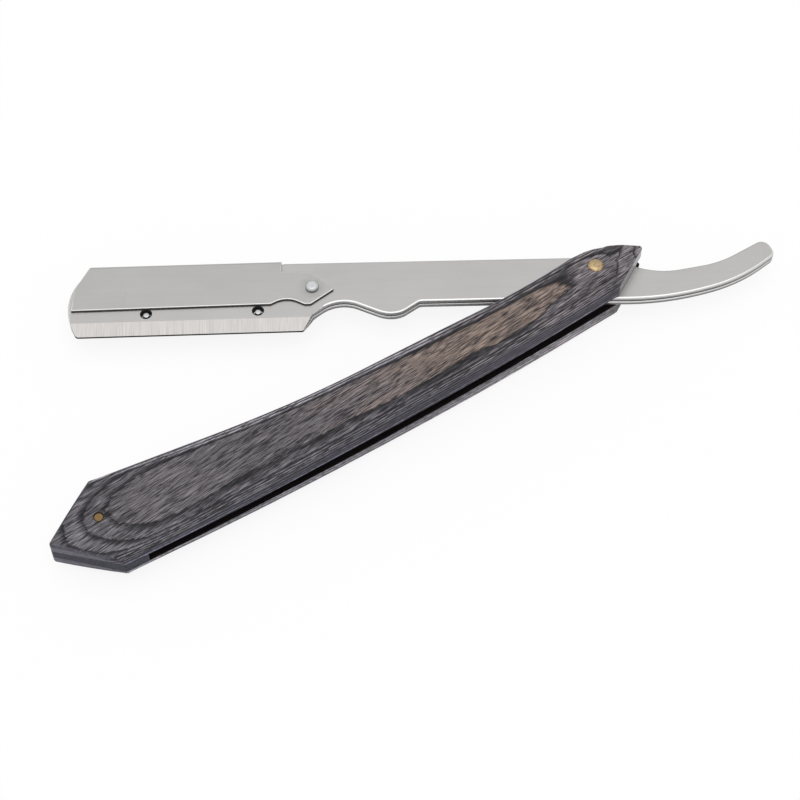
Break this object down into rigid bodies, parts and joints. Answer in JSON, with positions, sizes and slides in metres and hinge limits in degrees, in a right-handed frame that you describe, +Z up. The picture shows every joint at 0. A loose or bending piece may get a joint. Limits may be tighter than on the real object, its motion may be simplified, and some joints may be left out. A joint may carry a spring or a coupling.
{
  "type": "straight razor",
  "caption": "Folding barber razor: a steel arm with clip-locked jaws for a replaceable blade and a curved tail, pivoting in a handle of laminated wood scales.",
  "frame": {"origin": "middle of the bottom of the bounding box, as the razor lies open on its side", "axes": "+X along the arm from the jaws to the tail, +Y from the handle's far end towards the arm, +Z up along the pivot pin"},
  "size_m": [0.148, 0.0746, 0.0107],
  "materials": {
    "laminated_wood": "satin, dyed charcoal laminate",
    "dark_wood": "satin, dyed dark slate",
    "leaf_steel": "satin, brushed along the arm",
    "clip_steel": "satin sheet",
    "rivet_steel": "matte",
    "brass": "hammered, slightly dulled"
  },
  "bodies": {
    "handle": {"front_scale": "laminated_wood", "back_scale": "laminated_wood", "wedge_spacer": "dark_wood", "wedge_pin": "brass", "pivot_pin": "brass", "front_washer": "brass", "back_washer": "brass"},
    "arm": {"front_leaf": "leaf_steel", "back_leaf": "leaf_steel", "blade_pin_toe": "rivet_steel", "blade_pin_heel": "rivet_steel", "clip_rivet": "rivet_steel"},
    "clip": {"swing_clip": "clip_steel"}
  },
  "joints": [
    {"name": "handle_pivot", "type": "hinge", "parent": "handle", "child": "arm", "pos_m": [0.03559, 0.02893, 0.00534], "axis": [0, 0, 1], "range_deg": [-270, 26.5]},
    {"name": "clip_swing", "type": "hinge", "parent": "arm", "child": "clip", "pos_m": [-0.02341, 0.02723, 0.00534], "axis": [0, 0, -1], "range_deg": [0, 80]}
  ]
}
